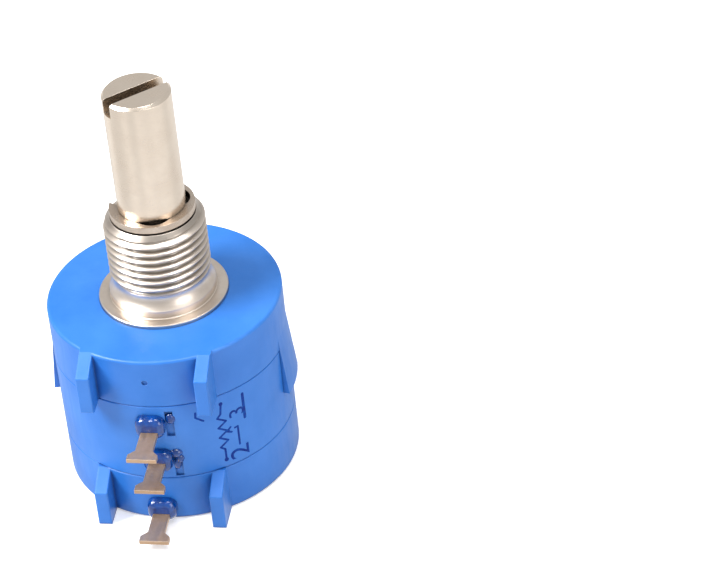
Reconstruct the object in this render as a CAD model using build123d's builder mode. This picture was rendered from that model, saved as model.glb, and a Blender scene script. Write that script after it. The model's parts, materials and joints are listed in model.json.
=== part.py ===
"""Ten-turn wirewound potentiometer, millimetres.

The frame sits on the mounting face of the bushing's flange: +Z runs out along the shaft and the
solder lugs point to -Y.  Depths are measured from the mounting face towards the rear.
"""
import os
from math import cos, radians, sin, sqrt

from build123d import *

# ---- Body: three blue mouldings -------------------------------------------------------------
body_radius = 11.11
body_length = 19.05
face_step = 0.35
front_seam_depth = 5.53
rear_seam_height = 5.01
seam_bevel = 0.1
cover_wall = 1.0
front_wall = 1.6
rear_wall = 0.9
edge_round = 0.3
spigot_wall = 1.06
spigot_clearance = 0.05
insert_clearance = 0.02
slot_clearance = 0.04

# ---- Fins, two on each cover ----------------------------------------------------------------
fin_offset = 5.5
fin_thickness = 1.3
fin_stand = 1.14
fin_embed = 2.11
fin_drop = 1.2
fin_shoulder = 1.4
fin_round = 0.15

# ---- Snap tongues that hold the covers together ---------------------------------------------
tongue_length = 4.98
tongue_arc = 24.0
tongue_play = 0.5
tongue_embed = 0.51
tongue_flare = 0.6
tongue_rise = 1.3
gate_mark_radius = 0.28
gate_mark_depth = 0.15
gate_mark_drop = 2.7

# ---- Bushing --------------------------------------------------------------------------------
thread_wall = 1.585
thread_depth = 0.34
bushing_height = 8.75
lead_in = 0.55
bore_countersink = 0.45
thread_start = 1.75
collar_step = 0.24
collar_height = 0.85
flange_step = 1.34
flange_thickness = 1.0
hub_step = 0.44

# ---- Shaft and its ring ---------------------------------------------------------------------
shaft_radius = 3.175
shaft_height = 21.9
shaft_chamfer = 0.25
running_clearance = 0.025
driver_slot_width = 1.2
driver_slot_depth = 1.5
driver_slot_angle = 41.0
tail_step = 0.575
tail_height = 5.05
ring_step = 0.825
ring_thickness = 0.65
ring_gap = 0.2
groove_depth = 0.455
ring_relief_step = 0.445
ring_relief_radius = 1.7
ring_relief_spread = 100.0
ring_mouth_angle = 155.0
ring_mouth_width = 3.4
groove_clearance = 0.03

# ---- Rotor ----------------------------------------------------------------------------------
washer_thickness = 0.2
washer_width = 1.55
washer_clearance = 0.05
rotor_radius = 7.0
rotor_end_wall = 0.6
rotor_slot_floor = 4.2
slip_ring_thickness = 0.25
slip_ring_inner = 3.6
slip_ring_outer = 5.6
brush_space = 1.05
pivot_radius = 1.8
pivot_boss_wall = 0.95
pivot_boss_height = 0.8
pivot_end_gap = 0.15

# ---- Carriage -------------------------------------------------------------------------------
carriage_width = 3.0
carriage_height = 1.2
carriage_side_clearance = 0.1
carriage_end_clearance = 0.1
carriage_lift = 0.25
head_depth = 1.1
element_gap = 0.3
rib_thickness = 0.3
rib_width = 2.4
rib_reach = 0.15
leaf_thickness = 0.12
leaf_height = 0.4
leaf_width = 2.0
leaf_clearance = 0.04

# ---- Element and travel ---------------------------------------------------------------------
turns = 10.0
turns_before_rest = 4.75
element_radius = 0.4
element_seat = 0.1
groove_fit = 0.05
channel_skin = 0.1
end_overlap = 27.0

# ---- Rail, leads and brush ------------------------------------------------------------------
rail_thickness = 0.3
rail_width = 1.4
lead_thickness = 0.35
lead_width = 1.2
foot_width = 0.8
foot_height = 0.5
slider_lead_width = 0.8
slider_lead_offset = 1.9
slider_lead_setback = 0.44
slider_lead_thickness = 0.28
brush_thickness = 0.2
brush_width = 1.2
brush_root = 6.2
brush_tip = 4.2
brush_heel = 4.8
stake_radius = 0.3
stake_setback = 2.2
brush_plate_length = 2.2

# ---- Terminals ------------------------------------------------------------------------------
lug_stand = 4.79
lug_thickness = 0.4
lug_neck_width = 1.6
lug_head_width = 2.8
lug_head_length = 0.7
lug_flare_length = 0.6
lug_1_depth = 8.02
lug_2_depth = 11.7
lug_3_height = 1.14
lug_2_offset = 0.3
wing_length = 2.35
wing_width = 0.7
seal_width = 2.8
seal_height = 2.3
seal_reach = 0.95
seal_root = 1.0
seal_round = 0.65
seal_corner = 0.85
seal_1_lift = 0.4
seal_2_lift = 0.1
seal_3_lift = 0.35
pocket_width = 0.75
pocket_depth = 0.4
pocket_1_range = (-1.0, 1.9)
pocket_2_range = (-2.1, 0.6)

# ---- Sizes that follow ----------------------------------------------------------------------
plastic_face = -face_step
front_inner = plastic_face - front_wall
front_seam = -front_seam_depth
rear_face = -body_length
rear_seam = rear_face + rear_seam_height
floor = rear_face + rear_wall
cavity_radius = body_radius - cover_wall
spigot_radius = cavity_radius - spigot_clearance
helix_radius = spigot_radius - spigot_wall
barrel_bore = helix_radius - element_seat
groove_bottom = helix_radius + element_radius + groove_fit

rotor_front = front_inner - washer_thickness - 2 * washer_clearance
slip_ring_face = floor + brush_space
rotor_rear = slip_ring_face + slip_ring_thickness
slot_top = rotor_front - rotor_end_wall
slot_bottom = rotor_rear + rotor_end_wall
slot_length = slot_top - slot_bottom
travel = slot_length - carriage_height - 2 * carriage_end_clearance
pitch = travel / turns
helix_bottom = slot_bottom + carriage_end_clearance + carriage_height / 2
helix_top = helix_bottom + travel
carriage_z = helix_bottom + pitch * turns_before_rest

thread_radius = shaft_radius + thread_wall
thread_root_radius = thread_radius - thread_depth
collar_radius = thread_radius + collar_step
flange_radius = thread_radius + flange_step
hub_radius = thread_radius + hub_step
tail_radius = shaft_radius - tail_step
ring_radius = shaft_radius + ring_step
groove_radius = shaft_radius - groove_depth
ring_relief_reach = shaft_radius + ring_relief_step
fin_reach = body_radius + fin_stand
fin_root = body_radius - fin_embed
tongue_inner = body_radius - tongue_embed
lug_reach = body_radius + lug_stand
lug_3_depth = body_length - lug_3_height

ring_bottom = bushing_height + ring_gap
ring_top = ring_bottom + ring_thickness
tongue_bottom = front_seam - tongue_length
head_radius = helix_radius - element_radius - element_gap
carriage_floor = rotor_slot_floor + rail_thickness + carriage_lift

os.makedirs("parts", exist_ok=True)


# ---- Shared shapes --------------------------------------------------------------------------
def arc_plane(angle):
    """A plane through the axis whose x direction points to the given angle about +Z."""
    outward = (cos(radians(angle)), sin(radians(angle)), 0)
    return Plane(origin=(0, 0, 0), x_dir=outward, z_dir=(outward[1], -outward[0], 0))


def arc_block(points, centre, arc):
    """A profile of (radius, height) points turned about the axis, centred on an angle."""
    with BuildPart() as block:
        with BuildSketch(arc_plane(centre - arc / 2)):
            with BuildLine():
                Polyline(*points, close=True)
            make_face()
        revolve(axis=Axis.Z, revolution_arc=arc)
    return block.part


def slab(x_range, y_range, z_range):
    """A block given by its two faces in each direction."""
    middle = [(low + high) / 2 for low, high in (x_range, y_range, z_range)]
    size = [high - low for low, high in (x_range, y_range, z_range)]
    with BuildPart() as block:
        with Locations(tuple(middle)):
            Box(*size)
    return block.part


def coil(radius):
    """A round rod wound along the element's helix."""
    lead_out = pitch * end_overlap / 360
    with BuildPart() as rod:
        with BuildLine() as path:
            Helix(
                pitch=pitch,
                height=travel + 2 * lead_out,
                radius=helix_radius,
                center=(0, 0, helix_bottom - lead_out),
            )
        with BuildSketch(Plane(origin=path.line @ 0, z_dir=path.line % 0)):
            Circle(radius)
        sweep(is_frenet=True)
    return rod.part.rotate(Axis.Z, 270 - end_overlap)


def fin(side, top, bottom):
    """One fin: its top slopes down outwards, its outer face is upright."""
    with BuildPart() as plate:
        with BuildSketch(Plane.YZ.offset(side * fin_offset)):
            with BuildLine():
                Polyline(
                    (-fin_root, top),
                    (-fin_root, bottom),
                    (-fin_reach, bottom),
                    (-fin_reach, top - fin_drop),
                    (fin_shoulder - body_radius, top),
                    close=True,
                )
            make_face()
        extrude(amount=fin_thickness / 2, both=True)
        outer_edges, slope_edges = plate.edges().group_by(Axis.Y)[:2]
        fillet(outer_edges + slope_edges, radius=fin_round)
    return plate.part


def lug_slot(offset, depth, inner):
    """The hole that a lug's neck passes through."""
    half_width = lug_neck_width / 2 + slot_clearance
    half_height = lug_thickness / 2 + slot_clearance
    return slab(
        (offset - half_width, offset + half_width),
        (-body_radius - 1, -inner),
        (-depth - half_height, -depth + half_height),
    )


# ---- Front cover: cap, two fins, two snap tongues -------------------------------------------
front_fins = [fin(side, plastic_face, front_seam) for side in (-1, 1)]
tongue_profile = [
    (tongue_inner, front_seam + tongue_rise),
    (tongue_inner, tongue_bottom),
    (body_radius + tongue_flare, tongue_bottom),
    (body_radius, front_seam + tongue_rise),
]
tongues = [arc_block(tongue_profile, centre, tongue_arc) for centre in (0, 180)]

with BuildPart() as front_cover:
    with BuildSketch(Plane.XY.offset(front_seam)):
        Circle(body_radius)
    extrude(amount=plastic_face - front_seam)
    fillet(front_cover.edges().group_by(Axis.Z)[-1], radius=edge_round)
    chamfer(front_cover.edges().group_by(Axis.Z)[0], length=seam_bevel)
    for extra in front_fins + tongues:
        add(extra)
    with BuildSketch(Plane.XY.offset(tongue_bottom)):
        Circle(cavity_radius)
    extrude(amount=front_inner - tongue_bottom, mode=Mode.SUBTRACT)
    with BuildSketch(Plane.XY.offset(front_inner)):
        Circle(hub_radius + insert_clearance)
    extrude(amount=-2 * front_inner, mode=Mode.SUBTRACT)
    with BuildSketch(Plane.XY.offset(-flange_thickness)):
        Circle(flange_radius + insert_clearance)
    extrude(amount=flange_thickness, mode=Mode.SUBTRACT)
    with BuildSketch(Plane.XZ.offset(body_radius - gate_mark_depth)):
        with Locations((0, -gate_mark_drop)):
            Circle(gate_mark_radius)
    extrude(amount=1, mode=Mode.SUBTRACT)
front_cover.part.label = "front_cover"
export_step(front_cover.part, "parts/front_cover.step")

# ---- Middle housing: barrel with a helical groove, slots and lead channels ------------------
spigot_top = front_inner - spigot_clearance
spigot_bottom = floor + spigot_clearance
channel_floor = groove_bottom + channel_skin
channel_half = lead_width / 2 + slot_clearance
slider_half = slider_lead_width / 2 + slot_clearance
lug_1_top = -lug_1_depth + lug_thickness / 2
lug_3_top = -lug_3_depth + lug_thickness / 2
element_groove = coil(element_radius + groove_fit)
wing_slot = slab(
    (-lug_neck_width / 2 - slot_clearance, wing_length + slot_clearance),
    (-channel_floor - wing_width - slot_clearance, -channel_floor),
    (
        -lug_2_depth - lug_thickness / 2 - slot_clearance,
        -lug_2_depth + lug_thickness / 2 + slot_clearance,
    ),
)
front_channel = slab(
    (-channel_half, channel_half),
    (-spigot_radius - insert_clearance, -channel_floor),
    (lug_1_top, spigot_top),
)
rear_channel = slab(
    (-channel_half, channel_half),
    (-spigot_radius - insert_clearance, -channel_floor),
    (spigot_bottom, helix_bottom + foot_height),
)
foot_windows = [
    slab(
        (-foot_width / 2 - slot_clearance, foot_width / 2 + slot_clearance),
        (-channel_floor - slot_clearance, -helix_radius),
        (middle - foot_height / 2 - slot_clearance, middle + foot_height / 2 + slot_clearance),
    )
    for middle in (helix_top, helix_bottom)
]
slider_channel = slab(
    (slider_lead_offset - slider_half, slider_lead_offset + slider_half),
    (-spigot_radius - insert_clearance, -helix_radius - slider_lead_setback),
    (spigot_bottom, -lug_2_depth),
)
slider_notch = slab(
    (slider_lead_offset - slider_half, slider_lead_offset + slider_half),
    (-spigot_radius, -brush_root),
    (spigot_bottom, spigot_bottom + 2 * brush_thickness),
)
lug_3_notch = slab(
    (-lug_neck_width / 2 - slot_clearance, lug_neck_width / 2 + slot_clearance),
    (-body_radius, -channel_floor),
    (spigot_bottom, lug_3_top + slot_clearance),
)
pocket_profile = [
    (tongue_inner - spigot_clearance, front_seam),
    (tongue_inner - spigot_clearance, tongue_bottom - spigot_clearance),
    (body_radius + 1, tongue_bottom - spigot_clearance),
    (body_radius + 1, front_seam),
]
pockets = [arc_block(pocket_profile, centre, tongue_arc + tongue_play) for centre in (0, 180)]
seal_side = seal_width / 2
lug_pockets = [
    slab(
        (offset + seal_side, offset + seal_side + pocket_width),
        (-body_radius, pocket_depth - body_radius),
        (low - depth, high - depth),
    )
    for offset, depth, (low, high) in (
        (0, lug_1_depth, pocket_1_range),
        (lug_2_offset, lug_2_depth, pocket_2_range),
    )
]
housing_cuts = [element_groove, wing_slot, front_channel, rear_channel, slider_channel]
housing_cuts += [slider_notch, lug_3_notch, lug_slot(0, lug_1_depth, channel_floor)]
housing_cuts += [lug_slot(lug_2_offset, lug_2_depth, channel_floor)]
housing_cuts += foot_windows + pockets + lug_pockets

with BuildPart() as middle_housing:
    with BuildSketch(Plane.XY.offset(rear_seam)):
        Circle(body_radius)
    extrude(amount=front_seam - rear_seam)
    chamfer(middle_housing.edges().filter_by(GeomType.CIRCLE), length=seam_bevel)
    with BuildSketch(Plane.XY.offset(spigot_bottom)):
        Circle(spigot_radius)
    extrude(amount=spigot_top - spigot_bottom)
    with BuildSketch(Plane.XY.offset(spigot_bottom)):
        Circle(barrel_bore)
    extrude(amount=spigot_top - spigot_bottom, mode=Mode.SUBTRACT)
    for cut in housing_cuts:
        add(cut, mode=Mode.SUBTRACT)
middle_housing.part.label = "middle_housing"
export_step(middle_housing.part, "parts/middle_housing.step")

# ---- Rear cover: cup, two fins, pivot boss and a stake for the brush ------------------------
rear_fins = [fin(side, rear_seam, rear_face) for side in (-1, 1)]
lug_3_slot = lug_slot(0, lug_3_depth, channel_floor)
brush_end = helix_radius + slider_lead_setback

with BuildPart() as rear_cover:
    with BuildSketch(Plane.XY.offset(rear_face)):
        Circle(body_radius)
    extrude(amount=rear_seam - rear_face)
    chamfer(rear_cover.edges().group_by(Axis.Z)[-1], length=seam_bevel)
    fillet(rear_cover.edges().group_by(Axis.Z)[0], radius=edge_round)
    for extra in rear_fins:
        add(extra)
    with BuildSketch(Plane.XY.offset(floor)):
        Circle(cavity_radius)
    extrude(amount=rear_seam - floor, mode=Mode.SUBTRACT)
    with BuildSketch(Plane.XY.offset(floor)):
        Circle(pivot_radius + running_clearance + pivot_boss_wall)
        Circle(pivot_radius + running_clearance, mode=Mode.SUBTRACT)
    extrude(amount=pivot_boss_height)
    with BuildSketch(Plane.XY.offset(floor)):
        with Locations((slider_lead_offset, stake_setback - brush_end)):
            Circle(stake_radius)
    extrude(amount=1.5 * brush_thickness)
    add(lug_3_slot, mode=Mode.SUBTRACT)
rear_cover.part.label = "rear_cover"
export_step(rear_cover.part, "parts/rear_cover.step")

# ---- Bushing: hub, flange, collar and the thread's outer form -------------------------------
bore_radius = shaft_radius + running_clearance

with BuildPart() as bushing:
    with BuildSketch(Plane.XZ):
        with BuildLine():
            Polyline(
                (bore_radius, front_inner),
                (hub_radius, front_inner),
                (hub_radius, -flange_thickness),
                (flange_radius, -flange_thickness),
                (flange_radius, 0),
                (collar_radius, 0),
                (collar_radius, collar_height),
            )
            Line((collar_radius, collar_height), (thread_root_radius, thread_start))
            Polyline(
                (thread_root_radius, thread_start),
                (thread_radius, thread_start + thread_radius - thread_root_radius),
                (thread_radius, bushing_height - lead_in),
                (thread_radius - lead_in, bushing_height),
                (bore_radius + bore_countersink, bushing_height),
                (bore_radius, bushing_height - bore_countersink),
                (bore_radius, front_inner),
            )
        make_face()
    revolve(axis=Axis.Z)
bushing.part.label = "bushing"
export_step(bushing.part, "parts/bushing.step")

# ---- Shaft: driver slot, ring groove and tail -----------------------------------------------
tail_end = rear_face + tail_height
groove_low = ring_bottom - groove_clearance
groove_high = ring_top + groove_clearance

with BuildPart() as shaft:
    with BuildSketch(Plane.XZ):
        with BuildLine():
            Polyline(
                (0, tail_end),
                (tail_radius, tail_end),
                (tail_radius, rotor_front),
                (shaft_radius, rotor_front),
                (shaft_radius, groove_low),
                (groove_radius, groove_low),
                (groove_radius, groove_high),
                (shaft_radius, groove_high),
                (shaft_radius, shaft_height - shaft_chamfer),
                (shaft_radius - shaft_chamfer, shaft_height),
                (0, shaft_height),
                close=True,
            )
        make_face()
    revolve(axis=Axis.Z)
    with BuildSketch(Plane.XY.offset(shaft_height)):
        Rectangle(3 * shaft_radius, driver_slot_width, rotation=driver_slot_angle)
    extrude(amount=-driver_slot_depth, mode=Mode.SUBTRACT)
shaft.part.label = "shaft"
export_step(shaft.part, "parts/shaft.step")

# ---- Retaining ring: an open ring with a relief on each side of its middle prong ------------
middle_prong = ring_mouth_angle + 180
relief_centre = ring_relief_reach - ring_relief_radius

with BuildPart() as retaining_ring:
    with BuildSketch(Plane.XY.offset(ring_bottom)):
        Circle(ring_radius)
        Circle(groove_radius + insert_clearance, mode=Mode.SUBTRACT)
        with PolarLocations(relief_centre, 1, start_angle=middle_prong - ring_relief_spread / 2):
            Circle(ring_relief_radius, mode=Mode.SUBTRACT)
        with PolarLocations(relief_centre, 1, start_angle=middle_prong + ring_relief_spread / 2):
            Circle(ring_relief_radius, mode=Mode.SUBTRACT)
        with PolarLocations(ring_radius, 1, start_angle=ring_mouth_angle):
            Rectangle(ring_radius, ring_mouth_width, mode=Mode.SUBTRACT)
    extrude(amount=ring_thickness)
retaining_ring.part.label = "retaining_ring"
export_step(retaining_ring.part, "parts/retaining_ring.step")

# ---- Thrust washer between the bushing and the rotor ----------------------------------------
with BuildPart() as thrust_washer:
    with BuildSketch(Plane.XY.offset(rotor_front + washer_clearance)):
        Circle(bore_radius + washer_clearance + washer_width)
        Circle(bore_radius + washer_clearance, mode=Mode.SUBTRACT)
    extrude(amount=washer_thickness)
thrust_washer.part.label = "thrust_washer"
export_step(thrust_washer.part, "parts/thrust_washer.step")

# ---- Rotor: a drum with a slot for the carriage, a hole for the rail and a rear pivot -------
slot_half = carriage_width / 2 + carriage_side_clearance
carriage_slot = slab(
    (-rotor_radius - 1, -rotor_slot_floor),
    (-slot_half, slot_half),
    (slot_bottom, slot_top),
)
rail_hole = slab(
    (-rotor_slot_floor - rail_thickness - slot_clearance, -rotor_slot_floor + slot_clearance),
    (-rail_width / 2 - slot_clearance, rail_width / 2 + slot_clearance),
    (rotor_rear, slot_bottom),
)

with BuildPart() as rotor:
    with BuildSketch(Plane.XY.offset(rotor_rear)):
        Circle(rotor_radius)
    extrude(amount=rotor_front - rotor_rear)
    with BuildSketch(Plane.XY.offset(tail_end)):
        Circle(tail_radius + insert_clearance)
    extrude(amount=rotor_front - tail_end, mode=Mode.SUBTRACT)
    with BuildSketch(Plane.XY.offset(floor + pivot_end_gap)):
        Circle(pivot_radius)
    extrude(amount=rotor_rear - floor - pivot_end_gap)
    add(carriage_slot, mode=Mode.SUBTRACT)
    add(rail_hole, mode=Mode.SUBTRACT)
rotor.part.label = "rotor"
export_step(rotor.part, "parts/rotor.step")

# ---- Contact rail in the floor of the slot, and the slip ring it touches --------------------
rail_face = -rotor_slot_floor - rail_thickness

with BuildPart() as contact_rail:
    with BuildSketch(Plane.XY.offset(rotor_rear)):
        with Locations((rail_face, 0)):
            Rectangle(rail_thickness, rail_width, align=(Align.MIN, Align.CENTER))
    extrude(amount=slot_top - rotor_rear)
contact_rail.part.label = "contact_rail"
export_step(contact_rail.part, "parts/contact_rail.step")

with BuildPart() as slip_ring:
    with BuildSketch(Plane.XY.offset(slip_ring_face)):
        Circle(slip_ring_outer)
        Circle(slip_ring_inner, mode=Mode.SUBTRACT)
    extrude(amount=slip_ring_thickness)
slip_ring.part.label = "slip_ring"
export_step(slip_ring.part, "parts/slip_ring.step")

# ---- Wiper carriage: a block in the slot and a forked head that straddles one turn ----------
rib_offset = pitch / 2
rib_arc_radius = head_radius + element_gap + rib_reach
head_height = 2 * rib_offset + rib_thickness

with BuildPart() as wiper_carriage:
    with BuildSketch(Plane.XY.offset(carriage_z - carriage_height / 2)):
        with Locations((-carriage_floor, 0)):
            Rectangle(head_radius - carriage_floor - head_depth, carriage_width,
                      align=(Align.MAX, Align.CENTER))
    extrude(amount=carriage_height)
    with BuildSketch(Plane.XY.offset(carriage_z - head_height / 2)):
        Circle(head_radius)
        with Locations((-head_radius + head_depth, 0)):
            Rectangle(2 * head_depth, carriage_width, align=(Align.MAX, Align.CENTER),
                      mode=Mode.INTERSECT)
    extrude(amount=head_height)
    for level in (-rib_offset, rib_offset):
        with BuildSketch(Plane.XY.offset(carriage_z + level - rib_thickness / 2)):
            Circle(rib_arc_radius)
            with Locations((-head_radius + head_depth, 0)):
                Rectangle(2 * head_depth, rib_width, align=(Align.MAX, Align.CENTER),
                          mode=Mode.INTERSECT)
        extrude(amount=rib_thickness)
wiper_carriage.part.label = "wiper_carriage"
export_step(wiper_carriage.part, "parts/wiper_carriage.step")

# ---- Bowed spring contacts: one on the element, one on the rail -----------------------------
leaf_root = sqrt(head_radius**2 - (leaf_width / 2) ** 2)
leaf_crown = head_radius + element_gap - leaf_clearance

with BuildPart() as wiper_contact:
    with BuildSketch(Plane.XY.offset(carriage_z - leaf_height / 2)):
        with BuildLine():
            ThreePointArc((-leaf_root, -leaf_width / 2), (-leaf_crown, 0),
                          (-leaf_root, leaf_width / 2))
            ThreePointArc((-leaf_root, leaf_width / 2), (-head_radius, 0),
                          (-leaf_root, -leaf_width / 2))
        make_face()
    extrude(amount=leaf_height)
wiper_contact.part.label = "wiper_contact"
export_step(wiper_contact.part, "parts/wiper_contact.step")

rail_leaf_half = carriage_height / 2 - carriage_end_clearance
rail_leaf_crown = rotor_slot_floor + rail_thickness + leaf_clearance

with BuildPart() as rail_contact:
    with BuildSketch(Plane.XZ):
        with BuildLine():
            ThreePointArc(
                (-carriage_floor, carriage_z - rail_leaf_half),
                (-rail_leaf_crown, carriage_z),
                (-carriage_floor, carriage_z + rail_leaf_half),
            )
            ThreePointArc(
                (-carriage_floor, carriage_z + rail_leaf_half),
                (-rail_leaf_crown - leaf_thickness, carriage_z),
                (-carriage_floor, carriage_z - rail_leaf_half),
            )
        make_face()
    extrude(amount=leaf_height, both=True)
rail_contact.part.label = "rail_contact"
export_step(rail_contact.part, "parts/rail_contact.step")

# ---- Resistance element: ten turns of wound rod ---------------------------------------------
resistance_element = coil(element_radius)
resistance_element.label = "resistance_element"
export_step(resistance_element, "parts/resistance_element.step")

# ---- Leads from the element's two ends to the outer lugs ------------------------------------
lead_inner = channel_floor + insert_clearance
element_touch = helix_radius + element_radius + insert_clearance

with BuildPart() as element_lead_front:
    with BuildSketch(Plane.XY.offset(lug_1_top)):
        with Locations((0, -lead_inner)):
            Rectangle(lead_width, lead_thickness, align=(Align.CENTER, Align.MAX))
    extrude(amount=helix_top + foot_height / 2 - lug_1_top)
    with BuildSketch(Plane.XY.offset(helix_top - foot_height / 2)):
        with Locations((0, -element_touch)):
            Rectangle(foot_width, lead_inner - element_touch, align=(Align.CENTER, Align.MAX))
    extrude(amount=foot_height)
element_lead_front.part.label = "element_lead_front"
export_step(element_lead_front.part, "parts/element_lead_front.step")

with BuildPart() as element_lead_rear:
    with BuildSketch(Plane.XY.offset(lug_3_top)):
        with Locations((0, -lead_inner)):
            Rectangle(lead_width, lead_thickness, align=(Align.CENTER, Align.MAX))
    extrude(amount=helix_bottom + foot_height / 2 - lug_3_top)
    with BuildSketch(Plane.XY.offset(helix_bottom - foot_height / 2)):
        with Locations((0, -element_touch)):
            Rectangle(foot_width, lead_inner - element_touch, align=(Align.CENTER, Align.MAX))
    extrude(amount=foot_height)
element_lead_rear.part.label = "element_lead_rear"
export_step(element_lead_rear.part, "parts/element_lead_rear.step")

# ---- Slider lead and the collector brush that rubs on the slip ring -------------------------
lug_2_underside = -lug_2_depth - lug_thickness / 2
brush_top = floor + brush_thickness
slider_inner = helix_radius + slider_lead_setback + insert_clearance

with BuildPart() as slider_lead:
    with BuildSketch(Plane.XY.offset(spigot_bottom)):
        with Locations((slider_lead_offset, -slider_inner)):
            Rectangle(slider_lead_width, slider_lead_thickness, align=(Align.CENTER, Align.MAX))
    extrude(amount=lug_2_underside - spigot_bottom)
slider_lead.part.label = "slider_lead"
export_step(slider_lead.part, "parts/slider_lead.step")

with BuildPart() as collector_brush:
    with BuildSketch(Plane.YZ.offset(slider_lead_offset)):
        with BuildLine():
            Polyline(
                (-slider_inner, floor),
                (-brush_root, floor),
                (-brush_heel, slip_ring_face - leaf_clearance - brush_thickness),
                (-brush_tip, slip_ring_face - leaf_clearance - brush_thickness),
                (-brush_tip, slip_ring_face - leaf_clearance),
                (-brush_heel, slip_ring_face - leaf_clearance),
                (-brush_root, brush_top),
                (-slider_inner, brush_top),
                close=True,
            )
        make_face()
    extrude(amount=slider_lead_width / 2, both=True)
    with BuildSketch(Plane.XY.offset(floor)):
        with Locations((slider_lead_offset, -brush_root)):
            Rectangle(brush_width, brush_plate_length, align=(Align.CENTER, Align.MAX))
    extrude(amount=brush_thickness)
    with BuildSketch(Plane.XY.offset(floor)):
        with Locations((slider_lead_offset, stake_setback - brush_end)):
            Circle(stake_radius + insert_clearance)
    extrude(amount=brush_thickness, mode=Mode.SUBTRACT)
collector_brush.part.label = "collector_brush"
export_step(collector_brush.part, "parts/collector_brush.step")

# ---- Terminals: flat lugs whose necks flare into wide heads ---------------------------------
lugs = {
    "terminal_1": (0, lug_1_depth, 0),
    "terminal_2": (lug_2_offset, lug_2_depth, wing_length),
    "terminal_3": (0, lug_3_depth, 0),
}
neck_half = lug_neck_width / 2
head_half = lug_head_width / 2
head_root = lug_reach - lug_head_length
flare_root = head_root - lug_flare_length

for name, (offset, depth, wing) in lugs.items():
    with BuildPart() as lug:
        with BuildSketch(Plane.XY.offset(-depth - lug_thickness / 2)):
            with BuildLine():
                Polyline(
                    (offset - neck_half, -lead_inner),
                    (offset - neck_half, -flare_root),
                    (offset - head_half, -head_root),
                    (offset - head_half, -lug_reach),
                    (offset + head_half, -lug_reach),
                    (offset + head_half, -head_root),
                    (offset + neck_half, -flare_root),
                    (offset + neck_half, -lead_inner),
                    close=True,
                )
            make_face()
            if wing:
                with Locations((offset - neck_half, -lead_inner)):
                    Rectangle(wing - offset + neck_half, wing_width,
                              align=(Align.MIN, Align.MAX))
        extrude(amount=lug_thickness)
    lug.part.label = name
    export_step(lug.part, f"parts/{name}.step")

# ---- Seals: rounded blobs of sealing resin where the lugs leave the body --------------------
seals = {
    "terminal_seal_1": (0, lug_1_depth, seal_1_lift),
    "terminal_seal_2": (lug_2_offset, lug_2_depth, seal_2_lift),
    "terminal_seal_3": (0, lug_3_depth, seal_3_lift),
}
neck_hole = neck_half + insert_clearance
edge_hole = lug_thickness / 2 + insert_clearance

for name, (offset, depth, lift) in seals.items():
    neck = slab(
        (offset - neck_hole, offset + neck_hole),
        (-lug_reach, 0),
        (-depth - edge_hole, -depth + edge_hole),
    )
    with BuildPart() as seal:
        with BuildSketch(Plane.XZ.offset(body_radius - seal_root)):
            with Locations((offset, lift - depth)):
                RectangleRounded(seal_width, seal_height, seal_corner)
        extrude(amount=seal_root + seal_reach)
        fillet(seal.faces().sort_by(Axis.Y)[0].edges(), radius=seal_round)
        with BuildSketch(Plane.XY.offset(rear_face)):
            Circle(body_radius + insert_clearance)
        extrude(amount=body_length, mode=Mode.SUBTRACT)
        add(neck, mode=Mode.SUBTRACT)
    seal.part.label = name
    export_step(seal.part, f"parts/{name}.step")
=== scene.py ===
"""Ten-turn potentiometer: finishes, threaded bushing, resin seals and print over the CAD frame."""

import json
import math

import bmesh
import bpy
from mathutils import Matrix, Quaternion, Vector


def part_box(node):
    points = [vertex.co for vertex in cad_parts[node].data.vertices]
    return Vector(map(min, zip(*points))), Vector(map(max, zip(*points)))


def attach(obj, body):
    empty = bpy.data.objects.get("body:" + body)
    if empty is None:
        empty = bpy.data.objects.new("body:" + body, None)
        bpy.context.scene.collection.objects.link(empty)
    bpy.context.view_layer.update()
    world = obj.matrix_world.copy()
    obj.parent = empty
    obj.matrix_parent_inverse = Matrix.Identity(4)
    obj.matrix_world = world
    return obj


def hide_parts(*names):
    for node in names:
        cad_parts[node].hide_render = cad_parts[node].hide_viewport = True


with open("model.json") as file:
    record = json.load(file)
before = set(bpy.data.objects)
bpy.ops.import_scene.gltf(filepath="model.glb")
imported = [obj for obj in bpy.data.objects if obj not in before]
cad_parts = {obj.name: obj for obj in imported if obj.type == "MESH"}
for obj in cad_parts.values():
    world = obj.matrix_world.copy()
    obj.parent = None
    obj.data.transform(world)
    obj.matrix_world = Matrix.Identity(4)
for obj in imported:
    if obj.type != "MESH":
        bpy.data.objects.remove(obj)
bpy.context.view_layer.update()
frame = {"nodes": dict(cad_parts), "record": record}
nodes = frame["nodes"]
mounts = {mount["name"]: mount for mount in frame["record"]["mounts"]}

MM = 0.001

# ---- Sizes read from the frame --------------------------------------------------------------
housing_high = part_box("middle_housing")[1]
cover_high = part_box("front_cover")[1]
rear_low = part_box("rear_cover")[0]
bushing_low, bushing_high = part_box("bushing")
body_radius = housing_high.x
plastic_face = cover_high.z
thread_radius = mounts["bushing_thread"]["dims"]["r_mm"] * MM
collar_radius = mounts["panel_pilot"]["dims"]["r_mm"] * MM
collar_height = mounts["panel_pilot"]["dims"]["length_mm"] * MM
shaft_radius = mounts["shaft_end"]["dims"]["r_mm"] * MM
flange_radius = bushing_high.x

# ---- Thread: 32 turns to the inch, 60 degree flanks -----------------------------------------
thread_pitch = 25.4 / 32 * MM
thread_depth = 0.42 * MM
thread_start = 2.05 * MM
lead_in = 0.75 * MM
bore_clearance = 0.025 * MM
rows_per_pitch = 16
around = 240


# ---- Small helpers --------------------------------------------------------------------------
def shade(tree, kind, inputs=None, **settings):
    """Adds a shader node; an input is a value or another node's socket."""
    made = tree.nodes.new("ShaderNode" + kind)
    for name, value in settings.items():
        setattr(made, name, value)
    for name, value in (inputs or {}).items():
        if isinstance(value, bpy.types.NodeSocket):
            tree.links.new(value, made.inputs[name])
        else:
            made.inputs[name].default_value = value
    return made


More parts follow.
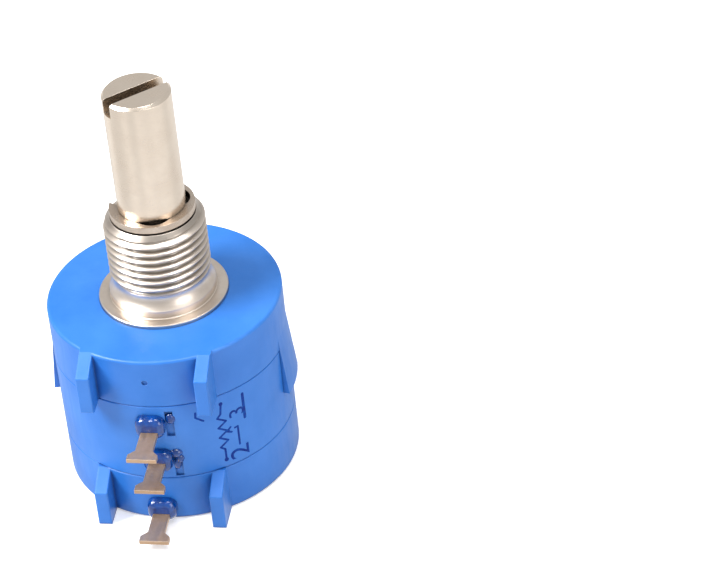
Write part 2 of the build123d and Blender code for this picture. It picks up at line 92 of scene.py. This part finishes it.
def blank_material(name):
    """A material with a Principled shader, and its object coordinates."""
    material = bpy.data.materials.new(name)
    material.use_nodes = True
    tree = material.node_tree
    surface = tree.nodes["Principled BSDF"]
    place = shade(tree, "TexCoord").outputs["Object"]
    return material, tree, surface, place


def stretched(tree, place, scale):
    """Object coordinates stretched along each axis."""
    return shade(tree, "Mapping", {"Vector": place, "Scale": scale}).outputs["Vector"]


def noise(tree, place, scale, detail=3.0, roughness=0.55):
    made = shade(tree, "TexNoise", {"Vector": place, "Scale": scale, "Detail": detail,
                                    "Roughness": roughness})
    return made.outputs["Fac"]


def remap(tree, value, low, high, to_low, to_high):
    made = shade(tree, "MapRange", {"Value": value, "From Min": low, "From Max": high,
                                    "To Min": to_low, "To Max": to_high})
    return made.outputs["Result"]


def blend_colour(tree, factor, first, second):
    made = shade(tree, "Mix", data_type="RGBA")
    sockets = {"Factor": made.inputs[0], "A": made.inputs[6], "B": made.inputs[7]}
    for name, value in (("Factor", factor), ("A", first), ("B", second)):
        if isinstance(value, bpy.types.NodeSocket):
            tree.links.new(value, sockets[name])
        else:
            sockets[name].default_value = value
    return made.outputs[2]


def rounded_normal(tree, width):
    return shade(tree, "Bevel", {"Radius": width}, samples=6).outputs["Normal"]


def edge_mask(tree, rounded):
    """1 on sharp edges, 0 on flats: how far the rounded normal leaves the true one."""
    true = shade(tree, "NewGeometry").outputs["Normal"]
    dot = shade(tree, "VectorMath", {0: rounded, 1: true}, operation="DOT_PRODUCT")
    return remap(tree, dot.outputs["Value"], 0.995, 0.8, 0.0, 1.0)


def paint_crevice_shade(tree, colour, reach, shadow, depth=1.0):
    """Painted shade: darkens a colour where surfaces close in on each other."""
    shut = shade(tree, "AmbientOcclusion", {"Distance": reach}, samples=8).outputs["AO"]
    return blend_colour(tree, remap(tree, shut, 0.15, 0.75, depth, 0.0), colour, shadow)


def bump(tree, surface, height, distance, strength=1.0, under=None):
    made = shade(tree, "Bump", {"Height": height, "Distance": distance, "Strength": strength})
    if under is not None:
        tree.links.new(under, made.inputs["Normal"])
    tree.links.new(made.outputs["Normal"], surface.inputs["Normal"])
    return made.outputs["Normal"]


# ---- Materials ------------------------------------------------------------------------------
def moulded_blue():
    """Glass-filled blue plastic: faint clouding, fine moulding grain, paler rubbed edges."""
    material, tree, surface, place = blank_material("moulded_blue")
    clouds = noise(tree, place, 140.0, 4.0)
    grain = noise(tree, place, 5200.0, 2.0)
    fibre = noise(tree, stretched(tree, place, (1.0, 1.0, 0.2)), 1600.0, 3.0)
    rounded = rounded_normal(tree, 0.1 * MM)
    deep = (0.013, 0.138, 0.500, 1.0)
    pale = (0.034, 0.185, 0.600, 1.0)
    colour = blend_colour(tree, remap(tree, clouds, 0.3, 0.7, 0.0, 1.0), deep, pale)
    rubbed = remap(tree, fibre, 0.35, 0.75, 0.1, 0.5)
    edge = shade(tree, "Math", {0: edge_mask(tree, rounded), 1: rubbed}, operation="MULTIPLY")
    colour = blend_colour(tree, edge.outputs[0], colour, (0.18, 0.38, 0.85, 1.0))
    # Painted shade: dark navy laid where surfaces close in.
    colour = paint_crevice_shade(tree, colour, 0.9 * MM, (0.002, 0.035, 0.210, 1.0), 0.9)
    tree.links.new(colour, surface.inputs["Base Color"])
    tree.links.new(remap(tree, fibre, 0.3, 0.7, 0.34, 0.46), surface.inputs["Roughness"])
    surface.inputs["IOR"].default_value = 1.5
    under = bump(tree, surface, grain, 0.006 * MM, 1.0, rounded)
    bump(tree, surface, clouds, 0.05 * MM, 0.6, under)
    return material


def sealing_resin():
    """Dark glossy resin with an uneven, lumpy skin."""
    material, tree, surface, place = blank_material("sealing_resin")
    lumps = noise(tree, place, 520.0, 2.0)
    swirl = noise(tree, place, 1300.0, 3.0)
    colour = blend_colour(tree, remap(tree, swirl, 0.35, 0.7, 0.0, 1.0),
                          (0.000, 0.024, 0.150, 1.0), (0.000, 0.055, 0.280, 1.0))
    tree.links.new(colour, surface.inputs["Base Color"])
    tree.links.new(remap(tree, swirl, 0.3, 0.7, 0.05, 0.16), surface.inputs["Roughness"])
    surface.inputs["Coat Weight"].default_value = 0.8
    surface.inputs["Coat Roughness"].default_value = 0.04
    under = bump(tree, surface, lumps, 0.4 * MM, 0.8)
    bump(tree, surface, swirl, 0.05 * MM, 0.6, under)
    return material


def plated_metal(name, bright, dull, rough_low, rough_high, lines, valley=None):
    """Nickel-plated metal with turning lines round the axis and duller, worn patches."""
    material, tree, surface, place = blank_material(name)
    turned_lines = noise(tree, stretched(tree, place, (1.0, 1.0, lines)), 300.0, 4.0, 0.7)
    patches = noise(tree, place, 420.0, 5.0, 0.65)
    specks = noise(tree, place, 3600.0, 2.0)
    rounded = rounded_normal(tree, 0.05 * MM)
    colour = blend_colour(tree, remap(tree, patches, 0.35, 0.7, 0.0, 1.0), bright, dull)
    darker = tuple(0.82 * value for value in dull[:3]) + (1.0,)
    edge = shade(tree, "Math", {0: edge_mask(tree, rounded), 1: 0.45}, operation="MULTIPLY")
    colour = blend_colour(tree, edge.outputs[0], colour, darker)
    # Painted shade: a near-black copy of the dull colour, laid into the thread valleys and
    # crevices.
    painted_shade = tuple(0.14 * value for value in dull[:3]) + (1.0,)
    if valley:
        colour = paint_thread_valley_shade(tree, place, colour, painted_shade, valley)
    colour = paint_crevice_shade(tree, colour, 1.8 * MM, painted_shade, 0.95)
    tree.links.new(colour, surface.inputs["Base Color"])
    surface.inputs["Metallic"].default_value = 1.0
    mixed = shade(tree, "Math", {0: turned_lines, 1: patches}, operation="MULTIPLY").outputs[0]
    tree.links.new(remap(tree, mixed, 0.1, 0.45, rough_low, rough_high),
                   surface.inputs["Roughness"])
    under = bump(tree, surface, turned_lines, 0.008 * MM, 0.5, rounded)
    bump(tree, surface, specks, 0.003 * MM, 0.5, under)
    return material


def paint_thread_valley_shade(tree, place, colour, painted_shade, valley):
    """Painted shade: darkens a turned piece towards its thread's root radius, between two heights.
    """
    root, crest, low, high = valley
    parts = shade(tree, "SeparateXYZ", {"Vector": place}).outputs
    flat = shade(tree, "CombineXYZ", {"X": parts["X"], "Y": parts["Y"]}).outputs["Vector"]
    reach = shade(tree, "VectorMath", {0: flat}, operation="LENGTH").outputs["Value"]
    deep = remap(tree, reach, root, crest, 0.42, 0.0)
    above = remap(tree, parts["Z"], low, low + 0.3 * MM, 0.0, 1.0)
    below = remap(tree, parts["Z"], high - 0.05 * MM, high, 1.0, 0.0)
    span = shade(tree, "Math", {0: above, 1: below}, operation="MULTIPLY").outputs[0]
    mask = shade(tree, "Math", {0: deep, 1: span}, operation="MULTIPLY").outputs[0]
    return blend_colour(tree, mask, colour, painted_shade)


def tinned_lug():
    """Solder-dipped copper alloy: tan, softly reflective, uneven along its length."""
    material, tree, surface, place = blank_material("tinned_lug")
    drawn = noise(tree, stretched(tree, place, (6.0, 0.7, 1.0)), 500.0, 4.0)
    stain = noise(tree, place, 520.0, 4.0, 0.6)
    rounded = rounded_normal(tree, 0.06 * MM)
    colour = blend_colour(tree, remap(tree, stain, 0.35, 0.7, 0.0, 1.0),
                          (0.64, 0.43, 0.28, 1.0), (0.42, 0.27, 0.17, 1.0))
    # Painted highlight: sharp edges painted a pale, bright tan.
    colour = blend_colour(tree, edge_mask(tree, rounded), colour, (0.88, 0.74, 0.58, 1.0))
    tree.links.new(colour, surface.inputs["Base Color"])
    tree.links.new(remap(tree, stain, 0.35, 0.7, 0.90, 0.65), surface.inputs["Metallic"])
    tree.links.new(remap(tree, drawn, 0.3, 0.7, 0.28, 0.44), surface.inputs["Roughness"])
    under = bump(tree, surface, drawn, 0.01 * MM, 0.6, rounded)
    bump(tree, surface, stain, 0.03 * MM, 0.5, under)
    return material


def inner_plastic(name, dark, light, rough):
    """Matt moulded plastic for the pieces inside."""
    material, tree, surface, place = blank_material(name)
    clouds = noise(tree, place, 300.0, 4.0)
    grain = noise(tree, place, 5000.0, 2.0)
    colour = blend_colour(tree, remap(tree, clouds, 0.3, 0.7, 0.0, 1.0), dark, light)
    tree.links.new(colour, surface.inputs["Base Color"])
    tree.links.new(remap(tree, grain, 0.3, 0.7, rough - 0.06, rough + 0.06),
                   surface.inputs["Roughness"])
    bump(tree, surface, grain, 0.006 * MM)
    return material


def contact_brass():
    """Rolled spring brass."""
    material, tree, surface, place = blank_material("contact_brass")
    rolled = noise(tree, stretched(tree, place, (1.0, 1.0, 0.1)), 1500.0, 4.0)
    colour = blend_colour(tree, remap(tree, rolled, 0.3, 0.7, 0.0, 1.0),
                          (0.80, 0.60, 0.28, 1.0), (0.66, 0.47, 0.20, 1.0))
    tree.links.new(colour, surface.inputs["Base Color"])
    surface.inputs["Metallic"].default_value = 1.0
    tree.links.new(remap(tree, rolled, 0.3, 0.7, 0.2, 0.36), surface.inputs["Roughness"])
    bump(tree, surface, rolled, 0.006 * MM, 0.6)
    return material


def wound_wire():
    """Fine resistance wire wound round its mandrel: rings that run round the axis."""
    material, tree, surface, place = blank_material("wound_wire")
    angle = shade(tree, "TexGradient", {"Vector": place}, gradient_type="RADIAL").outputs["Fac"]
    turns = shade(tree, "Math", {0: angle, 1: 2 * math.pi * 560}, operation="MULTIPLY")
    ripple = shade(tree, "Math", {0: turns.outputs[0]}, operation="SINE").outputs[0]
    tone = noise(tree, place, 700.0, 3.0)
    colour = blend_colour(tree, remap(tree, ripple, -1.0, 1.0, 0.0, 1.0),
                          (0.16, 0.11, 0.08, 1.0), (0.56, 0.46, 0.38, 1.0))
    tree.links.new(colour, surface.inputs["Base Color"])
    surface.inputs["Metallic"].default_value = 1.0
    tree.links.new(remap(tree, tone, 0.3, 0.7, 0.3, 0.45), surface.inputs["Roughness"])
    bump(tree, surface, ripple, 0.02 * MM)
    return material


def marking_ink():
    """Thin dark blue stamped ink with worn, uneven cover."""
    material, tree, surface, place = blank_material("marking_ink")
    cover = noise(tree, place, 2600.0, 3.0)
    colour = blend_colour(tree, remap(tree, cover, 0.45, 0.75, 0.0, 1.0),
                          (0.000, 0.022, 0.200, 1.0), (0.000, 0.070, 0.360, 1.0))
    tree.links.new(colour, surface.inputs["Base Color"])
    surface.inputs["Specular IOR Level"].default_value = 0.15
    tree.links.new(remap(tree, cover, 0.3, 0.7, 0.45, 0.6), surface.inputs["Roughness"])
    bump(tree, surface, cover, 0.004 * MM)
    return material


# ---- Making pieces --------------------------------------------------------------------------
def finished(mesh_builder, name, body, material, smooth=True):
    """Turns a bmesh into a piece that rides on a body and takes a finish."""
    bmesh.ops.recalc_face_normals(mesh_builder, faces=mesh_builder.faces)
    mesh = bpy.data.meshes.new(name)
    mesh_builder.to_mesh(mesh)
    mesh_builder.free()
    for face in mesh.polygons:
        face.use_smooth = smooth
    mesh.materials.append(material)
    piece = bpy.data.objects.new(name, mesh)
    bpy.context.scene.collection.objects.link(piece)
    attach(piece, body)
    return piece


def turned(profile, steps=around):
    """A closed (radius, height) outline turned about the axis."""
    built = bmesh.new()
    ring = [built.verts.new((radius, 0, height)) for radius, height in profile]
    edges = [built.edges.new((a, b)) for a, b in zip(ring, ring[1:] + ring[:1])]
    bmesh.ops.spin(built, geom=ring + edges, cent=(0, 0, 0), axis=(0, 0, 1),
                   angle=2 * math.pi, steps=steps, use_merge=True)
    bmesh.ops.remove_doubles(built, verts=built.verts, dist=0.001 * MM)
    return built


def thread_height(height, angle):
    """How far the thread's flank stands above its root at a height and an angle, 0 to 1."""
    turn = (height / thread_pitch - angle / (2 * math.pi)) % 1.0
    flank = abs(turn - 0.5) * 2
    return min(1.0, max(0.0, (flank - 0.22) / 0.64))


def threaded_bushing(material):
    """Flange, collar, flared neck and a real helical thread with a tapered lead-in."""
    low, high = bushing_low.z, bushing_high.z
    bore = shaft_radius + bore_clearance
    root = thread_radius - thread_depth
    flange_foot = plastic_face - 0.65 * MM
    flange_edge = 0.07 * MM
    profile = [
        (bore, low), (flange_radius * 0.85, low), (flange_radius * 0.85, flange_foot),
        (flange_radius, flange_foot), (flange_radius, -flange_edge),
        (flange_radius - flange_edge, 0.0), (collar_radius + flange_edge, 0.0),
        (collar_radius, flange_edge), (collar_radius, collar_height - flange_edge),
        (collar_radius - flange_edge, collar_height),
    ]
    neck_steps = 8
    for step in range(1, neck_steps):
        along = step / neck_steps
        sag = (1 - along) ** 2
        radius = root + (collar_radius - flange_edge - root) * sag
        profile.append((radius, collar_height + (thread_start - collar_height) * along))
    rows = int((high - thread_start) / thread_pitch * rows_per_pitch)
    profile += [(root, thread_start + (high - thread_start) * row / rows) for row in range(rows)]
    rim = root - 0.28 * MM
    profile += [(rim, high), (bore + 0.32 * MM, high), (bore, high - 0.32 * MM)]
    built = turned(profile)
    fade = 0.6 * thread_pitch
    for vertex in built.verts:
        radius = math.hypot(vertex.co.x, vertex.co.y)
        if abs(radius - root) > 0.01 * MM or vertex.co.z < thread_start - 0.01 * MM:
            continue
        height, angle = vertex.co.z, math.atan2(vertex.co.y, vertex.co.x)
        rise = min(1.0, (height - thread_start) / fade)
        limit = rim + (thread_radius - rim) * min(1.0, (high - height) / lead_in)
        wanted = root + thread_depth * thread_height(height, angle) * rise
        scale = min(wanted, limit) / radius
        vertex.co.x *= scale
        vertex.co.y *= scale
    piece = finished(built, "threaded_bushing", "housing", material)
    piece.data.set_sharp_from_angle(angle=math.radians(38))
    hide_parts("bushing")
    return piece


# ---- Print: a resistor sign with its wiper, stamped on the barrel ---------------------------
ink_thickness = 0.012 * MM
ink_width = 0.2 * MM


def wrapped(point, centre_angle):
    """A flat (across, up, out) point laid on the barrel round a given angle from -Y to +X."""
    angle = math.radians(centre_angle) + point[0] / body_radius
    radius = body_radius + point[2]
    return Vector((radius * math.sin(angle), -radius * math.cos(angle), point[1]))


def stroke(built, points, width=ink_width):
    """A line of ink through flat (across, up) points, with round joints."""
    for (x0, y0), (x1, y1) in zip(points, points[1:]):
        length = math.hypot(x1 - x0, y1 - y0)
        turn = Matrix.Rotation(math.atan2(y1 - y0, x1 - x0), 4, "Z")
        place = Matrix.Translation(((x0 + x1) / 2, (y0 + y1) / 2, 0)) @ turn
        size = Matrix.Diagonal((length, width, 2 * ink_thickness, 1))
        bmesh.ops.create_cube(built, size=1, matrix=place @ size)
    for x, y in points:
        dot(built, x, y, width / 2)


def dot(built, x, y, radius):
    place = Matrix.Translation((x, y, 0))
    bmesh.ops.create_cone(built, cap_ends=True, segments=16, radius1=radius, radius2=radius,
                          depth=2 * ink_thickness, matrix=place)


def numeral(built, sign, x, y, size, turn):
    """A plain figure set as a mesh, turned on its side."""
    curve = bpy.data.curves.new("figure_outline", "FONT")
    curve.body = sign
    curve.size = size
    curve.extrude = ink_thickness
    curve.align_x = "CENTER"
    curve.align_y = "CENTER"
    holder = bpy.data.objects.new("figure_outline", curve)
    bpy.context.scene.collection.objects.link(holder)
    bpy.context.view_layer.update()
    graph = bpy.context.evaluated_depsgraph_get()
    mesh = bpy.data.meshes.new_from_object(holder.evaluated_get(graph))
    place = Matrix.Translation((x, y, 0)) @ Matrix.Rotation(turn, 4, "Z")
    mesh.transform(place)
    built.from_mesh(mesh)
    bpy.data.objects.remove(holder)
    bpy.data.meshes.remove(mesh)


def resistor_print(material):
    """Two dots joined by a zigzag, a wiper line, figures beside it."""
    built = bmesh.new()
    centre = 34.3
    top, bottom = -6.55 * MM, -13.15 * MM
    zig_top, zig_bottom = -7.9 * MM, -11.9 * MM
    swing = 0.42 * MM
    teeth = 7
    step = (zig_top - zig_bottom) / teeth
    zigzag = [(0.1 * MM, top), (-0.05 * MM, zig_top + 0.2 * MM)]
    for tooth in range(teeth):
        side = -1 if tooth % 2 == 0 else 1
        zigzag.append((side * swing, zig_top - step * (tooth + 0.35)))
    zigzag += [(0.0, zig_bottom), (0.0, bottom)]
    stroke(built, zigzag)
    dot(built, 0.1 * MM, top, 0.2 * MM)
    dot(built, 0.0, bottom, 0.22 * MM)
    wiper_x = 1.55 * MM
    stroke(built, [(0.35 * MM, -9.95 * MM), (wiper_x, -9.85 * MM), (wiper_x, -12.0 * MM)])
    stroke(built, [(0.8 * MM, -9.6 * MM), (0.35 * MM, -9.95 * MM), (0.85 * MM, -10.2 * MM)])
    stroke(built, [(2.45 * MM, -6.5 * MM), (2.45 * MM, -9.25 * MM)], 1.5 * ink_width)
    stroke(built, [(-2.4 * MM, -6.75 * MM), (-2.45 * MM, -7.3 * MM), (-1.75 * MM, -7.85 * MM)])
    quarter = math.pi / 2
    numeral(built, "2", 1.6 * MM, -12.9 * MM, 2.9 * MM, quarter)
    numeral(built, "3", 1.7 * MM, -8.2 * MM, 2.3 * MM, quarter)
    bmesh.ops.triangulate(built, faces=built.faces)
    for vertex in built.verts:
        vertex.co = wrapped(vertex.co, centre)
    return finished(built, "resistor_print", "housing", material, smooth=False)


# ---- Drops of resin that ran out beside the middle lug --------------------------------------
def resin_drops(material):
    """Small lumps half sunk in the pockets beside the upper lugs."""
    lumps = [
        (1.95, 10.80, -11.05, (0.62, 0.50, 0.50)), (2.25, 10.75, -11.75, (0.42, 0.42, 0.52)),
        (1.95, 10.75, -12.45, (0.40, 0.36, 0.62)), (1.85, 10.75, -7.05, (0.50, 0.42, 0.62)),
    ]
    built = bmesh.new()
    for x, out, height, radii in lumps:
        sunk = Matrix.Translation((x * MM, -out * MM, height * MM))
        size = Matrix.Diagonal((*(radius * MM for radius in radii), 1))
        bmesh.ops.create_icosphere(built, subdivisions=4, radius=1, matrix=sunk @ size)
    return finished(built, "resin_drops", "housing", material)


# ---- Stage: camera, floor and light ---------------------------------------------------------
view_distance = 273.4 * MM
view_elevation = math.radians(36.78)
view_azimuth = math.radians(15.6)
view_roll = math.radians(-8.14)
aim_aside = -0.0645
aim_down = -0.0157
lens = 145.5


def camera():
    """Looks down on the part from the lug side, with the part left of the middle."""
    target = Vector((0, 0, plastic_face - 5 * MM))
    flat = math.cos(view_elevation)
    back = Vector((math.sin(view_azimuth) * flat, -math.cos(view_azimuth) * flat,
                   math.sin(view_elevation)))
    made = bpy.data.objects.new("camera", bpy.data.cameras.new("camera"))
    bpy.context.scene.collection.objects.link(made)
    made.data.lens = lens
    made.data.sensor_width = 36
    made.data.clip_start = 0.01
    made.data.clip_end = 10
    made.rotation_mode = "QUATERNION"
    ahead = Vector((0, 0, -1))
    aim = ahead.rotation_difference(Vector((aim_aside, aim_down, -1)).normalized())
    facing = (-back).to_track_quat("-Z", "Y") @ Quaternion((0, 0, 1), view_roll)
    made.location = target + back * view_distance
    made.rotation_quaternion = facing @ aim.inverted()
    bpy.context.scene.camera = made


def floor():
    """A wide pale table under the rear cover."""
    built = bmesh.new()
    bmesh.ops.create_grid(built, x_segments=1, y_segments=1, size=1.5)
    mesh = bpy.data.meshes.new("table")
    built.to_mesh(mesh)
    built.free()
    table = bpy.data.objects.new("table", mesh)
    table.location.z = rear_low.z - 0.02 * MM
    bpy.context.scene.collection.objects.link(table)
    material, tree, surface, place = blank_material("table_white")
    tree.nodes.remove(surface)
    rays = shade(tree, "LightPath")
    matt = shade(tree, "BsdfDiffuse", {"Color": (0.86, 0.86, 0.86, 1.0)}).outputs[0]
    away = shade(tree, "VectorMath", {0: place}, operation="LENGTH").outputs["Value"]
    fill = remap(tree, away, 0.06, 0.4, 0.42, 1.1)
    white = shade(tree, "Math", {0: rays.outputs["Is Camera Ray"], 1: fill}, operation="MULTIPLY")
    glow = shade(tree, "Emission", {"Color": (1, 1, 1, 1), "Strength": white.outputs[0]})
    both = shade(tree, "AddShader", {0: matt, 1: glow.outputs[0]})
    tone = remap(tree, noise(tree, place, 14.0, 1.0), 0.35, 0.65, 0.72, 1.0)
    mirrored = shade(tree, "Emission", {"Color": (1, 1, 1, 1), "Strength": tone})
    mixed = shade(tree, "MixShader", {0: rays.outputs["Is Glossy Ray"], 1: both.outputs[0],
                                      2: mirrored.outputs[0]})
    under = shade(tree, "NewGeometry").outputs["Backfacing"]
    clear = shade(tree, "BsdfTransparent")
    shown = shade(tree, "MixShader", {0: under, 1: mixed.outputs[0], 2: clear.outputs[0]})
    tree.links.new(shown.outputs[0], tree.nodes["Material Output"].inputs["Surface"])
    mesh.materials.append(material)


def soft_lamp(name, place, target, size, power, colour=(1, 1, 1)):
    lamp = bpy.data.lights.new(name, "AREA")
    lamp.shape = "RECTANGLE"
    lamp.size, lamp.size_y = size
    lamp.energy = power
    lamp.color = colour
    made = bpy.data.objects.new(name, lamp)
    made.location = place
    made.rotation_mode = "QUATERNION"
    made.rotation_quaternion = (Vector(target) - Vector(place)).to_track_quat("-Z", "Y")
    bpy.context.scene.collection.objects.link(made)


def lights():
    """A white tent: soft sky, a strong light from the upper left, a weak one from the right."""
    soft_lamp("key_light", (-0.38, -0.16, 0.48), (0, 0, 0), (0.3, 0.3), 6.0)
    soft_lamp("top_light", (0.12, -0.02, 0.60), (0, 0, 0), (0.3, 0.3), 2.2)
    soft_lamp("right_light", (0.45, -0.30, 0.22), (0, 0, -0.005), (0.3, 0.35), 0.9)
    world = bpy.data.worlds.new("tent")
    world.use_nodes = True
    tree = world.node_tree
    sky = tree.nodes["Background"]
    rays = shade(tree, "LightPath")
    mirrored = remap(tree, rays.outputs["Is Glossy Ray"], 0.0, 1.0, 0.42, 0.55)
    strength = shade(tree, "Math", {0: rays.outputs["Is Camera Ray"], 1: mirrored},
                     operation="MAXIMUM").outputs[0]
    sky.inputs["Color"].default_value = (1, 1, 1, 1)
    tree.links.new(strength, sky.inputs["Strength"])
    bpy.context.scene.world = world


def dress_nodes():
    """Gives every carried-over CAD node its finish."""
    blue = moulded_blue()
    resin = sealing_resin()
    nickel = plated_metal("nickel_shaft", (0.96, 0.84, 0.71, 1), (0.90, 0.77, 0.64, 1),
                          0.18, 0.32, 60.0)
    steel = plated_metal("ring_steel", (0.76, 0.65, 0.55, 1), (0.58, 0.47, 0.38, 1),
                         0.2, 0.36, 4.0)
    lug = tinned_lug()
    brass = contact_brass()
    finishes = {
        "front_cover": blue, "middle_housing": blue, "rear_cover": blue,
        "terminal_seal_1": resin, "terminal_seal_2": resin, "terminal_seal_3": resin,
        "shaft": nickel, "retaining_ring": steel, "thrust_washer": steel,
        "terminal_1": lug, "terminal_2": lug, "terminal_3": lug,
        "contact_rail": brass, "slip_ring": brass, "collector_brush": brass,
        "slider_lead": brass, "element_lead_front": brass, "element_lead_rear": brass,
        "wiper_contact": brass, "rail_contact": brass,
        "rotor": inner_plastic("rotor_black", (0.018, 0.018, 0.020, 1),
                               (0.035, 0.034, 0.036, 1), 0.5),
        "wiper_carriage": inner_plastic("carriage_white", (0.74, 0.71, 0.64, 1),
                                        (0.83, 0.81, 0.75, 1), 0.45),
        "resistance_element": wound_wire(),
    }
    for name, material in finishes.items():
        mesh = nodes[name].data
        mesh.materials.clear()
        mesh.materials.append(material)


dress_nodes()
# The last argument sets the radii and heights where shade is painted into the thread valleys.
bushing_finish = plated_metal("nickel_bushing", (0.86, 0.77, 0.68, 1), (0.74, 0.64, 0.55, 1),
                              0.26, 0.42, 20.0,
                              (thread_radius - thread_depth, thread_radius, thread_start,
                               bushing_high.z))
threaded_bushing(bushing_finish)
resistor_print(marking_ink())
resin_drops(nodes["terminal_seal_2"].data.materials[0])
camera()
floor()
lights()
bpy.context.scene.view_settings.view_transform = "Standard"
